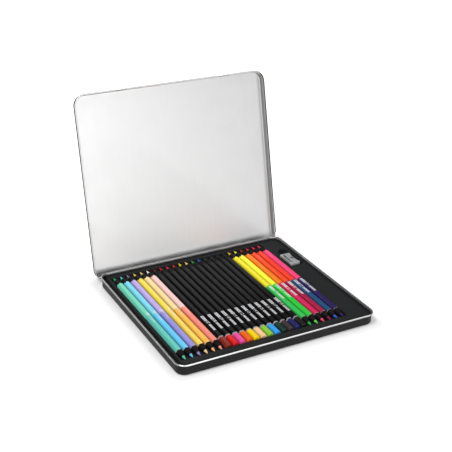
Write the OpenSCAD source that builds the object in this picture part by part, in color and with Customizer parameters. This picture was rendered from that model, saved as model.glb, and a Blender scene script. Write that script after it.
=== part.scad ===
// Hinged tin with twenty-four pencils in a formed tray and a metal sharpener.
// The tin stands on z = 0 and x runs along the hinge.
// The hinge is at the rear, towards +y, and the lid is drawn open.

/* [Pencils] */
// Length of a pencil from end to end
pencil_len = 176; // [165:1:185]
// Width of a pencil across its flat sides
pencil_af = 6.9; // [6.6:0.1:7.1]
// How much the six long edges are rounded off, measured across the corners
edge_trim = 0.35; // [0.25:0.05:0.45]
// Clear space between two pencils that lie side by side
pencil_gap = 0.2; // [0.18:0.02:0.5]
// Diameter of the coloured core
core_d = 3.2; // [2.8:0.1:3.8]
// Length of a sharpened rear end, from the full barrel to the tip
point_len = 19.5; // [16:0.5:23]
// Length of the blunter front point of a double-ended pencil
front_point_len = 13.4; // [11:0.2:19]
// Diameter of the blunted tip of a core
tip_d = 0.7; // [0.5:0.1:1.1]
// Rounding of the dipped ends
dip_r = 1.2; // [0.8:0.1:1.8]

/* [Tray] */
// Thickness of the formed sheet
tray_t = 0.6; // [0.5:0.05:0.8]
// Height of the tray's flat deck above the underside of the tin
deck_z = 8; // [7.6:0.1:8.6]
// Height of the groove floors above the underside of the tin
groove_z = 3.8; // [3.4:0.1:4.1]
// Height of the ridges between the grooves
ridge_h = 2.3; // [1.6:0.1:2.5]
// Deck between the left wall and the first pencil
margin_left = 9.7; // [7:0.1:14]
// Deck between the last pencil and the right wall
strip_w = 24.24; // [22.1:0.1:27]
// Deck between the front wall and the pencils
margin_front = 15.1; // [8:0.1:20]
// Deck between the rear wall and the pencils
margin_rear = 5.3; // [4:0.1:9]
// Width of the two troughs that stand on the floor of the tin
trough_w = 9; // [7:0.5:14]
// Distance of each trough from the middle of the pencils
trough_y = 42; // [30:1:54]

/* [Sharpener] */
// Length of the sharpener
sharp_len = 24; // [22:0.5:25]
// Width of the sharpener at its ends
sharp_w = 12.2; // [11.6:0.1:12.8]
// Height of the sharpener's body
sharp_h = 8.4; // [8.3:0.1:9.2]
// Depth of the hollow in each side
waist = 1.3; // [0.6:0.1:1.4]
// Diameter of the hole at the end where a pencil goes in
entry_d = 7.7; // [7.7:0.05:7.85]
// Thickness of the blade
blade_t = 0.5; // [0.4:0.05:0.7]
// Distance from the rear wall to the pocket
pocket_from_rear = 38.6; // [30:0.5:60]
// Radius of the finger recess behind the sharpener
recess_r = 6.2; // [5.5:0.1:7]

/* [Tin] */
// Thickness of the tinplate
sheet_t = 0.4; // [0.3:0.05:0.5]
// Height of the base to the top of its rolled rim
tin_h = 12.4; // [12:0.1:14]
// Radius of the base's upright corners
tin_corner_r = 9.5; // [8:0.5:14]
// Radius of the bend between floor and wall
base_bend_r = 2.2; // [1.4:0.1:2.4]
// Diameter of the rolled rim of the base
curl_d = 1.8; // [1.4:0.1:2]

/* [Lid] */
// Depth of the lid's walls
lid_h = 8; // [7.6:0.1:8.2]
// Radius of the bend between panel and wall
lid_bend_r = 2; // [1.4:0.1:2.6]
// Diameter of the rolled edge of the lid
lid_curl_d = 1.6; // [1.2:0.1:2]
// Clear space between the base's rim and the lid's walls
lid_gap = 0.35; // [0.3:0.05:0.5]
// Clear space between the base's rim and the lid's panel
lid_top_gap = 0.3; // [0.25:0.05:0.5]
// Angle by which the open lid leans back past upright
lid_lean = 13.5; // [8:0.5:15]
// Width of each flat pressed in the lid's front edge
press_w = 12; // [8:1:18]
// Distance of those flats from the middle
press_x = 62; // [45:1:80]
// Width of the tongue that stops the lid
stop_w = 60; // [30:2:90]

/* [Hinges] */
// Distance of each hinge from the middle
hinge_x = 70; // [56:1:84]
// Width of a hinge
hinge_w = 14; // [12:1:20]
// Outer diameter of the knuckles
knuckle_d = 2.5; // [2.3:0.1:2.7]
// Diameter of the hinge pin
pin_d = 1.2; // [1:0.1:1.3]
// Height of the hinge pin above the underside of the tin
hinge_z = 3.6; // [3.4:0.05:3.7]

/* [Hidden] */
$fn = 64;
PENCILS = 24;
PASTELS = 6;
NEONS = 6;
CUT = 1;
seat_gap = 0.05;
core_gap = 0.02;
tray_gap = 0.3;
bed_gap = 0.6;
groove_clear = 0.3;
lip_gap = 0.3;
run_gap = 0.1;
pin_gap = 0.05;
leaf_t = 0.4;
leaf_under_rim = 2.6;
leaf_under_bend = 1.6;
knuckle_gap = 0.15;
stop_gap = 0.05;
slit = 0.3;

pencil_ac = pencil_af / cos(30) - edge_trim;
pitch = pencil_ac + pencil_gap;
row_w = (PENCILS - 1) * pitch + pencil_ac;
facet_w = pencil_af * tan(30);

in_w = margin_left + row_w + strip_w;
in_d = margin_front + pencil_len + margin_rear;
tin_w = in_w + 2 * sheet_t;
tin_d = in_d + 2 * sheet_t;
curl_out = curl_d - sheet_t;

row_x0 = -in_w / 2 + margin_left;
row_x1 = row_x0 + row_w;
pencil_y0 = -in_d / 2 + margin_front;
pencil_y1 = pencil_y0 + pencil_len;
pencil_z = groove_z + seat_gap + pencil_af / 2;

bed_x0 = row_x0 - bed_gap;
bed_x1 = row_x1 + bed_gap;
bed_y0 = pencil_y0 - bed_gap;
bed_y1 = pencil_y1 + bed_gap;
tray_w = in_w - 2 * tray_gap;
tray_d = in_d - 2 * tray_gap;
tray_r = tin_corner_r - sheet_t - tray_gap;
lip_z = tin_h - curl_d - lip_gap;

pocket_left = 0.4;
pocket_right = 3.7;
pocket_front = 2.3;
pocket_rear = 0.7;
pocket_shift = 1.47;
pocket_r = 2;
recess_inset = 0.5;
recess_past = 7;
pocket_w = sharp_w + pocket_left + pocket_right;
pocket_len = sharp_len + pocket_front + pocket_rear;
pocket_x0 = row_x1 + (strip_w - pocket_w) / 2 + pocket_shift;
pocket_y1 = in_d / 2 - pocket_from_rear;
pocket_y0 = pocket_y1 - pocket_len;
pocket_z = sheet_t + tray_t;
recess_x = pocket_x0 + pocket_w - recess_r - recess_inset;
recess_y = pocket_y1 + recess_past;
sharp_x = pocket_x0 + pocket_left + sharp_w / 2;
sharp_y = pocket_y0 + pocket_front + sharp_len / 2;
sharp_z = pocket_z + seat_gap;

bore_x = -1.5;
bore_tip_d = 1.8;
bore_roof = 0.25;
bore_taper = (entry_d - bore_tip_d) / sharp_len;
sharp_r = 1;
waist_inset = 2;
blade_overhang = 0.6;
blade_side = 0.3;
blade_inset = 0.8;
blade_x0 = bore_x - blade_overhang;
blade_x1 = sharp_w / 2 - waist - blade_side;
slot_w = 1.8;
slot_lap = 0.4;
slot_inset = 2;
slot_h = 3.2;
screw_d = 2;
screw_gap = 0.1;
screw_from_bore = 3.5;
screw_x = bore_x + screw_from_bore;
screw_y = -1;
screw_head_d = 3.8;
screw_head_h = 0.6;
screw_len = 4;
screw_slot = 0.5;

lid_in = curl_out + lid_gap;
lid_w = tin_w + 2 * (lid_in + sheet_t);
lid_d = tin_d + 2 * (lid_in + sheet_t);
lid_r = tin_corner_r + lid_in + sheet_t;
lid_z = tin_h + lid_top_gap + sheet_t;
lid_open = 90 + lid_lean;
hinge_y = tin_d / 2 + knuckle_d / 2 + knuckle_gap;
leaf_z = lid_z - lid_h;
base_leaf_h = tin_h - curl_d - leaf_under_rim - hinge_z;
lid_leaf_h = lid_h - lid_bend_r - leaf_under_bend;
// The tongue's outer corner meets the base's rear wall when the lid is open.
stop_reach = hinge_y - tin_d / 2 - stop_gap;
stop_y = lid_d / 2 - hinge_y;
stop_drop = (stop_reach + stop_y * cos(lid_open)) / sin(lid_open);

PASTEL_COLOURS = ["#66d0a8", "#5cccf8", "#8b83dc", "#fddc5e", "#fdc354", "#fb8f80"];
BLACK_COLOURS = [
    "#8b2a1e", "#e01f1f", "#ee4fa0", "#f4661b", "#fdd80b", "#fcd09a",
    "#8ccc3e", "#3a9fee", "#1c3a33", "#3f3535", "#22265f", "#1e1b1c"
];
NEON_COLOURS = ["#38c858", "#30cc40", "#d8265e", "#b8184a", "#23507c", "#2a1c5c"];
CORE_COLOURS = concat(PASTEL_COLOURS, BLACK_COLOURS, NEON_COLOURS);

function two_digits(i) = str(i < 10 ? "0" : "", i);
function casing_node(i) = str("pencil_", two_digits(i), "_casing");
function core_node(i) = str("pencil_", two_digits(i), "_core");
function pencil_x(i) = row_x0 + pencil_ac / 2 + (i - 1) * pitch;
function is_double(i) = i <= PASTELS || i > PENCILS - NEONS;

// Plate with four rounded corners, centred on the origin, standing on z = 0
module rounded_plate(w, d, r, h) {
    translate([-w / 2, -d / 2 + r, 0])
        cube([w, d - 2 * r, h]);
    translate([-w / 2 + r, -d / 2, 0])
        cube([w - 2 * r, d, h]);
    for (x = [-1, 1], y = [-1, 1])
        translate([x * (w / 2 - r), y * (d / 2 - r), 0])
            cylinder(r = r, h = h);
}

// Straight run of a profile along one side, for which the child's x points outwards
module side_run(length, reach, turn) {
    rotate([0, 0, turn])
        translate([reach, length / 2, 0])
            rotate([90, 0, 0])
                linear_extrude(length)
                    children();
}

// Quarter turn of a profile round one corner of a w by d outline
module corner_run(w, d, r, turn) {
    translate([
        (turn == 0 || turn == 270 ? 1 : -1) * (w / 2 - r),
        (turn == 0 || turn == 90 ? 1 : -1) * (d / 2 - r),
        0
    ])
        rotate([0, 0, turn])
            rotate_extrude(angle = 90)
                translate([r, 0])
                    children();
}

// Rolled edge: a tube of sheet with a slit where the roll ends, resting on the wall's inner face
module curl_profile(d) {
    translate([d / 2 - sheet_t, 0])
        difference() {
            circle(d = d);
            circle(d = d - 2 * sheet_t);
            translate([-slit, -d / 2 - CUT])
                square([slit, d / 2 + CUT]);
        }
}

// Bend and wall of a pan, with the wall's outer face on x = 0 and the panel on y = 0
module wall_profile(bend_r, wall_h) {
    translate([-bend_r, bend_r])
        intersection() {
            difference() {
                circle(r = bend_r);
                circle(r = bend_r - sheet_t);
            }
            translate([0, -bend_r])
                square(bend_r);
        }
    translate([-sheet_t, bend_r])
        square([sheet_t, wall_h - bend_r]);
}

module base_profile() {
    wall_profile(base_bend_r, tin_h - curl_d / 2);
    translate([0, tin_h - curl_d / 2])
        curl_profile(curl_d);
}

module base_pan() {
    color("#2c2c2e") {
        rounded_plate(
            tin_w - 2 * base_bend_r, tin_d - 2 * base_bend_r, tin_corner_r - base_bend_r, sheet_t
        );
        for (turn = [0, 180])
            side_run(tin_d - 2 * tin_corner_r, tin_w / 2, turn)
                base_profile();
        for (turn = [90, 270])
            side_run(tin_w - 2 * tin_corner_r, tin_d / 2, turn)
                base_profile();
        for (turn = [0, 90, 180, 270])
            corner_run(tin_w, tin_d, tin_corner_r, turn)
                base_profile();
    }
}

// The lid's profile upside down: its panel is on y = 0 and its free edge points up
module lid_plain_profile() {
    wall_profile(lid_bend_r, lid_h);
}

module lid_curl_profile() {
    wall_profile(lid_bend_r, lid_h - lid_curl_d / 2);
    translate([0, lid_h - lid_curl_d / 2])
        curl_profile(lid_curl_d);
}

// Moves a piece that is drawn on the closed lid to its place on the open lid
module on_open_lid() {
    translate([0, hinge_y, hinge_z])
        rotate([-lid_open, 0, 0])
            translate([0, -hinge_y, -hinge_z])
                children();
}

// Gap pressed in the roll of the lid's front edge
module edge_press(x) {
    translate([x - press_w / 2, -lid_d / 2 - lid_curl_d, leaf_z - CUT])
        cube([press_w, lid_curl_d, lid_curl_d + CUT]);
}

module lid_shell() {
    translate([0, 0, lid_z])
        mirror([0, 0, 1]) {
            rounded_plate(
                lid_w - 2 * lid_bend_r, lid_d - 2 * lid_bend_r, lid_r - lid_bend_r, sheet_t
            );
            for (turn = [0, 180])
                side_run(lid_d - 2 * lid_r, lid_w / 2, turn)
                    lid_curl_profile();
            side_run(lid_w - 2 * lid_r, lid_d / 2, 270)
                lid_curl_profile();
            for (turn = [180, 270])
                corner_run(lid_w, lid_d, lid_r, turn)
                    lid_curl_profile();
            side_run(lid_w - 2 * lid_r, lid_d / 2, 90)
                lid_plain_profile();
            for (turn = [0, 90])
                corner_run(lid_w, lid_d, lid_r, turn)
                    lid_plain_profile();
        }
}

module lid_pan() {
    color("#d8d8d6")
        on_open_lid() {
            difference() {
                lid_shell();
                for (side = [-1, 1])
                    edge_press(side * press_x);
            }
            translate([-stop_w / 2, lid_d / 2 - sheet_t, hinge_z - stop_drop])
                cube([stop_w, sheet_t, leaf_z + lid_curl_d - hinge_z + stop_drop]);
        }
}

// One knuckle round the pin, from x0 to x1
module knuckle(x0, x1) {
    translate([x0, hinge_y, hinge_z])
        rotate([0, 90, 0])
            cylinder(d = knuckle_d, h = x1 - x0);
}

module pin_bore() {
    translate([-hinge_w, hinge_y, hinge_z])
        rotate([0, 90, 0])
            cylinder(d = pin_d + 2 * pin_gap, h = 2 * hinge_w);
}

// Strap on the outside of the base's rear wall, with a knuckle at each end
module base_hinge_leaf(side) {
    middle = hinge_w / 3;
    color("#9a9a98")
        translate([side * hinge_x, 0, 0])
            difference() {
                union() {
                    translate([-hinge_w / 2, tin_d / 2, hinge_z])
                        cube([hinge_w, leaf_t, base_leaf_h]);
                    for (x = [-hinge_w / 2, middle / 2 + run_gap / 2])
                        knuckle(x, x + (hinge_w - middle - run_gap) / 2);
                }
                pin_bore();
                // Room for the lid's knuckle
                translate([-(middle + run_gap) / 2, tin_d / 2 - CUT, hinge_z - knuckle_d])
                    cube([middle + run_gap, leaf_t + 2 * CUT, knuckle_d + knuckle_d / 2 + knuckle_gap]);
            }
}

// Strap inside the lid's rear wall, with one knuckle between the base's two
module lid_hinge_leaf(side) {
    middle = hinge_w / 3 - run_gap;
    inner_y = lid_d / 2 - sheet_t - leaf_t;
    color("#9a9a98")
        on_open_lid()
            translate([side * hinge_x, 0, 0])
                difference() {
                    union() {
                        translate([-hinge_w / 2, inner_y, leaf_z])
                            cube([hinge_w, leaf_t, lid_leaf_h]);
                        translate([-middle / 2, inner_y, hinge_z])
                            cube([middle, leaf_t, leaf_z - hinge_z]);
                        knuckle(-middle / 2, middle / 2);
                    }
                    pin_bore();
                }
}

module hinge_pins() {
    color("#c8c8c6")
        for (side = [-1, 1])
            translate([side * hinge_x - hinge_w / 2, hinge_y, hinge_z])
                rotate([0, 90, 0])
                    cylinder(d = pin_d, h = hinge_w);
}

// Cross-section of one ridge between two grooves, with its foot on y = 0
module ridge_profile() {
    foot = pitch - facet_w - 2 * groove_clear;
    top = foot - 2 * ridge_h * tan(30);
    polygon([[-foot / 2, 0], [foot / 2, 0], [top / 2, ridge_h], [-top / 2, ridge_h]]);
}

// All the ridges, from y0 to y1, standing on z = 0
module ridges(y0, y1) {
    for (i = [1 : PENCILS - 1])
        translate([pencil_x(i) + pitch / 2, y1, 0])
            rotate([90, 0, 0])
                linear_extrude(y1 - y0)
                    ridge_profile();
}

// Box across the bed for one trough, grown by a wall on each side
module trough_box(y, grow, z0, z1) {
    translate([bed_x0 - grow, y - trough_w / 2 - grow, z0])
        cube([bed_x1 - bed_x0 + 2 * grow, trough_w + 2 * grow, z1 - z0]);
}

// Plan of the sharpener's pocket with its finger recess, grown by a wall all round
module pocket_block(grow, z0, z1) {
    translate([pocket_x0 + pocket_w / 2, (pocket_y0 + pocket_y1) / 2, z0])
        rounded_plate(pocket_w + 2 * grow, pocket_len + 2 * grow, pocket_r + grow, z1 - z0);
    hull()
        for (y = [pocket_y1, recess_y])
            translate([recess_x, y, z0])
                cylinder(r = recess_r + grow, h = z1 - z0);
}

module pencil_tray() {
    pencil_mid = (pencil_y0 + pencil_y1) / 2;
    troughs = [pencil_mid - trough_y, pencil_mid + trough_y];
    color("#303032")
        difference() {
            union() {
                translate([0, 0, deck_z - tray_t])
                    rounded_plate(tray_w, tray_d, tray_r, lip_z - deck_z + tray_t);
                translate([bed_x0 - tray_t, bed_y0 - tray_t, groove_z - tray_t])
                    cube([
                        bed_x1 - bed_x0 + 2 * tray_t,
                        bed_y1 - bed_y0 + 2 * tray_t,
                        deck_z - groove_z
                    ]);
                for (y = troughs)
                    trough_box(y, tray_t, sheet_t, groove_z);
                pocket_block(tray_t, sheet_t, deck_z);
            }
            translate([0, 0, deck_z])
                rounded_plate(tray_w - 2 * tray_t, tray_d - 2 * tray_t, tray_r - tray_t, lip_z);
            difference() {
                translate([bed_x0, bed_y0, groove_z])
                    cube([bed_x1 - bed_x0, bed_y1 - bed_y0, deck_z]);
                translate([0, 0, groove_z])
                    ridges(bed_y0, bed_y1);
            }
            translate([0, 0, groove_z - tray_t])
                ridges(bed_y0 + tray_t, bed_y1 - tray_t);
            for (y = troughs)
                trough_box(y, 0, sheet_t + tray_t, deck_z);
            pocket_block(0, pocket_z, deck_z + CUT);
        }
}

// Half outline of a pencil sharpened at both ends, for turning about its axis
module double_profile() {
    polygon([
        [0, 0],
        [tip_d / 2, 0],
        [pencil_ac / 2, front_point_len],
        [pencil_ac / 2, pencil_len - point_len],
        [tip_d / 2, pencil_len],
        [0, pencil_len]
    ]);
}

// Half outline of a pencil with a rounded blunt end in front
module single_profile() {
    r = pencil_ac / 2;
    square([r - dip_r, dip_r]);
    translate([r - dip_r, dip_r])
        intersection() {
            circle(r = dip_r);
            translate([0, -dip_r])
                square(dip_r);
        }
    polygon([
        [0, dip_r],
        [r, dip_r],
        [r, pencil_len - point_len],
        [tip_d / 2, pencil_len],
        [0, pencil_len]
    ]);
}

// Round envelope of a pencil, from its front end on z = 0 upwards
module pencil_envelope(i) {
    rotate_extrude() {
        if (is_double(i)) double_profile();
        else single_profile();
    }
}

// Lays an upright pencil down in its groove, front end towards the viewer
module in_groove(i) {
    translate([pencil_x(i), pencil_y0, pencil_z])
        rotate([-90, 0, 0])
            children();
}

module pencil_casing(i) {
    bore_z = is_double(i) ? -CUT : 2 * dip_r;
    color(is_double(i) ? CORE_COLOURS[i - 1] : "#1e1d1f")
        in_groove(i)
            difference() {
                intersection() {
                    cylinder(d = pencil_af / cos(30), h = pencil_len, $fn = 6);
                    pencil_envelope(i);
                }
                translate([0, 0, bore_z])
                    cylinder(d = core_d, h = pencil_len + CUT - bore_z);
            }
}

// One core, or two that meet in the middle of a double-ended pencil
module pencil_core(i) {
    r = core_d / 2 - core_gap;
    mid = pencil_len / 2;
    color(CORE_COLOURS[i - 1])
        in_groove(i)
            intersection() {
                union() {
                    if (is_double(i)) {
                        cylinder(r = r, h = mid - core_gap);
                        translate([0, 0, mid + core_gap])
                            cylinder(r = r, h = mid - core_gap);
                    } else {
                        translate([0, 0, 2 * dip_r + core_gap])
                            cylinder(r = r, h = pencil_len - 2 * dip_r - core_gap);
                    }
                }
                pencil_envelope(i);
            }
}

// Moves a piece drawn round the sharpener's middle into the pocket
module in_pocket() {
    translate([sharp_x, sharp_y, sharp_z])
        children();
}

// Tapered hole whose upper side runs level, just under the blade
module sharpener_bore() {
    fall = atan(bore_taper / 2);
    translate([bore_x, sharp_len / 2, sharp_h - bore_roof - entry_d / 2])
        rotate([90 - fall, 0, 0])
            translate([0, 0, -CUT])
                cylinder(
                    d1 = entry_d + bore_taper * CUT,
                    d2 = bore_tip_d - bore_taper * CUT,
                    h = sharp_len + 2 * CUT
                );
}

module sharpener_body() {
    waist_r = (pow(sharp_len / 2 - waist_inset, 2) + waist * waist) / (2 * waist);
    color("#b9b9bb")
        in_pocket()
            difference() {
                rounded_plate(sharp_w, sharp_len, sharp_r, sharp_h);
                for (side = [-1, 1])
                    translate([side * (sharp_w / 2 - waist + waist_r), 0, -CUT])
                        cylinder(r = waist_r, h = sharp_h + 2 * CUT, $fn = 128);
                sharpener_bore();
                translate([blade_x0 - slot_w, -sharp_len / 2 + slot_inset, sharp_h - slot_h])
                    cube([slot_w + slot_lap, sharp_len - 2 * slot_inset, slot_h + CUT]);
                translate([screw_x, screw_y, sharp_h - screw_len])
                    cylinder(d = screw_d, h = screw_len + CUT);
            }
}

module sharpener_blade() {
    color("#9fa3a6")
        in_pocket()
            difference() {
                translate([blade_x0, -sharp_len / 2 + blade_inset, sharp_h])
                    cube([blade_x1 - blade_x0, sharp_len - 2 * blade_inset, blade_t]);
                translate([screw_x, screw_y, sharp_h - CUT])
                    cylinder(d = screw_d + 2 * screw_gap, h = blade_t + 2 * CUT);
            }
}

module sharpener_screw() {
    color("#7d7f80")
        in_pocket()
            translate([screw_x, screw_y, 0])
                difference() {
                    union() {
                        translate([0, 0, sharp_h + blade_t])
                            cylinder(d = screw_head_d, h = screw_head_h);
                        translate([0, 0, sharp_h - screw_len + seat_gap])
                            cylinder(d = screw_d - 2 * core_gap, h = screw_len + blade_t);
                    }
                    translate([-screw_head_d, -screw_slot / 2, sharp_h + blade_t + screw_head_h / 2])
                        cube([2 * screw_head_d, screw_slot, CUT]);
                }
}

base_pan();
pencil_tray();
base_hinge_leaf(-1);  // base_hinge_leaf_left
base_hinge_leaf(1);  // base_hinge_leaf_right
hinge_pins();
lid_pan();
lid_hinge_leaf(-1);  // lid_hinge_leaf_left
lid_hinge_leaf(1);  // lid_hinge_leaf_right
sharpener_body();
sharpener_blade();
sharpener_screw();
for (i = [1 : PENCILS]) {
    pencil_casing(i);
    pencil_core(i);
}
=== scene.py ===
"""Dresses a flat tin of colouring pencils: lacquered tinplate, a formed tray, 24 pencils and a sharpener.

Lengths in the classes below are in millimetres unless a name says otherwise. x runs along the hinge, y
towards it and z up, with the origin under the middle of the tin. The photograph is 452 by 452 pixels.
"""
import logging
import math
from dataclasses import dataclass, field
from enum import Enum
from typing import Any

import bmesh
import bpy
from mathutils import Euler, Matrix, Vector


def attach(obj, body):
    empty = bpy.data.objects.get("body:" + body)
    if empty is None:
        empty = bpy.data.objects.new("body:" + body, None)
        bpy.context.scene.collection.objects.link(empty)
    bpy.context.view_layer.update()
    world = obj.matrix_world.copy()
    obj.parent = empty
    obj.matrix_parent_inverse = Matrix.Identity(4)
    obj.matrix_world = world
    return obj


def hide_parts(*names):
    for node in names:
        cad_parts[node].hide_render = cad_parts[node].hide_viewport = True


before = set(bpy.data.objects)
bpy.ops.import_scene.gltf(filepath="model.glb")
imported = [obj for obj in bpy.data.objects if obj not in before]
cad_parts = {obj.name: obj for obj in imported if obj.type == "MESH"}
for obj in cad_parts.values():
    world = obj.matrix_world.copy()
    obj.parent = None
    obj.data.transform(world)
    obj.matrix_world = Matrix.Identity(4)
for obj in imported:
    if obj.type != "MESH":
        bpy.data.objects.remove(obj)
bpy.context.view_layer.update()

MM = 0.001
PHOTO_SIDE = 452.0
LOG = logging.getLogger("pencil_tin")

# Sockets of Map Range: 0 the value, 1 and 2 its range, 3 and 4 the range it is turned into.
# Sockets of Mix: 0 the share of the second, 2 and 3 two numbers, or 6 and 7 two colours.
MATH = "ShaderNodeMath"
VECTOR_MATH = "ShaderNodeVectorMath"
MAP_RANGE = "ShaderNodeMapRange"
MIX = "ShaderNodeMix"
NOISE = "ShaderNodeTexNoise"

# Nearly all of the noise lies between these two values.
NOISE_LOW = 0.3
NOISE_HIGH = 0.7

# The least angle of a hard edge, the most that counts as flat, the distance at which two points are one,
# and a place past any end of the tin.
CREASE_DEGREES = 35.0
FLAT_DEGREES = 0.5
TOUCHING = 0.002
BEYOND = 1000.0
WHITE = (1.0, 1.0, 1.0, 1.0)


def linear(hex_code: str) -> tuple[float, float, float, float]:
    """Turns an sRGB hex colour into the linear values that the shaders use.

    Args:
        hex_code: Colour as "#rrggbb".

    Returns:
        The red, green and blue values, and 1 for alpha.
    """
    channels = [int(hex_code[i:i + 2], 16) / 255 for i in (1, 3, 5)]
    straight = [c / 12.92 if c <= 0.04045 else ((c + 0.055) / 1.055) ** 2.4 for c in channels]
    return (*straight, 1.0)


def feed(tree: bpy.types.NodeTree, node: bpy.types.Node, inputs: dict[str | int, Any]) -> None:
    """Sets or links the sockets that go into a node.

    Args:
        tree: Tree that the node is in.
        node: Node that is fed.
        inputs: What goes into each socket, by name or number: a value, an output, or a node, which
            stands for the first output that it has in use.
    """
    for key, value in inputs.items():
        if isinstance(value, bpy.types.Node):
            value = next(output for output in value.outputs if output.enabled)
        if isinstance(value, bpy.types.NodeSocket):
            tree.links.new(value, node.inputs[key])
        else:
            node.inputs[key].default_value = value


def add_node(
    tree: bpy.types.NodeTree,
    kind: str,
    inputs: dict[str | int, Any] | None = None,
    **settings: Any,
) -> bpy.types.Node:
    """Adds one node to a tree, with its settings, its values and the links into it.

    Args:
        tree: Tree that gets the node.
        kind: Blender's name for the type of node.
        inputs: What goes into its sockets, as in feed.
        **settings: Properties of the node, by name.

    Returns:
        The new node.
    """
    node = tree.nodes.new(kind)
    for name, value in settings.items():
        setattr(node, name, value)
    feed(tree, node, inputs or {})
    return node


def streaks(
    tree: bpy.types.NodeTree,
    place: Any,
    sizes: tuple[float, float, float],
    detail: float,
    roughness: float = 0.5,
) -> bpy.types.Node:
    """Adds noise whose spots are drawn out into streaks.

    Args:
        tree: Tree that gets the noise.
        place: Coordinates that the noise lies in.
        sizes: Length of a spot along x, y and z, in millimetres.
        detail: Number of finer layers of noise.
        roughness: Strength of the finer layers.

    Returns:
        The noise.
    """
    drawn = add_node(tree, "ShaderNodeMapping", {
        "Vector": place, "Scale": tuple(1 / (size * MM) for size in sizes),
    })
    return add_node(tree, NOISE, {
        "Vector": drawn, "Scale": 1.0, "Detail": detail, "Roughness": roughness,
    })


def cleared_tree(owner: bpy.types.ID) -> bpy.types.NodeTree:
    """Gives the node tree of a material or a world, with nothing in it.

    Args:
        owner: The material or the world.

    Returns:
        Its empty tree.
    """
    owner.use_nodes = True
    owner.node_tree.nodes.clear()
    return owner.node_tree


@dataclass(frozen=True)
class Finish:
    """A finish of one material: the plain values of its shader, and the depth of its relief."""

    name: str
    colour: str
    roughness: float
    metallic: float = 0.0
    specular: float = 0.5
    relief: float = 0.03
    relief_strength: float = 0.4

    def build(self) -> bpy.types.Material:
        """Makes the material, or returns the one made before under this name.

        Returns:
            The Blender material.
        """
        found = bpy.data.materials.get(self.name)
        if found:
            return found
        material = bpy.data.materials.new(self.name)
        tree = cleared_tree(material)
        shader = add_node(tree, "ShaderNodeBsdfPrincipled", {
            "Base Color": linear(self.colour),
            "Roughness": self.roughness,
            "Metallic": self.metallic,
            "Specular IOR Level": self.specular,
        })
        add_node(tree, "ShaderNodeOutputMaterial", {"Surface": shader})
        looks = self.pattern(tree)
        looks["Normal"] = add_node(tree, "ShaderNodeBump", {
            "Strength": self.relief_strength, "Distance": self.relief * MM, "Height": looks.pop("Height"),
        })
        feed(tree, shader, looks)
        material.diffuse_color = linear(self.colour)
        return material

    def pattern(self, tree: bpy.types.NodeTree) -> dict[str, Any]:
        """Adds what varies over the surface. Each finish has its own.

        Args:
            tree: Node tree of the material.

        Returns:
            What goes into the shader's sockets, by name, and the height of the relief as "Height".
        """
        raise NotImplementedError


@dataclass(frozen=True)
class PanShape:
    """The shell of one half of the tin as it is when shut: its outline, its bend and its rolled edge.

    The rolled edge starts at roll_from over the panel. It is bare from roll_reach outside the wall to
    roll_inset inside it, as far as roll_until_x and roll_until_y. Painted shade greys the bare tin
    between right_shade_from and right_shade_to. turn and the hinge's place say how the pan stands at rest.
    """

    width: float
    depth: float
    corner: float
    bend: float
    sheet: float
    panel_z: float
    upwards: bool
    roll_from: float
    roll_reach: float = 2.0
    roll_inset: float = 5.0
    roll_until_x: float = BEYOND
    roll_until_y: float = BEYOND
    right_shade_from: float = BEYOND
    right_shade_to: float = 2 * BEYOND
    turn: float = 0.0
    hinge_y: float = 0.0
    hinge_z: float = 0.0


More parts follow.
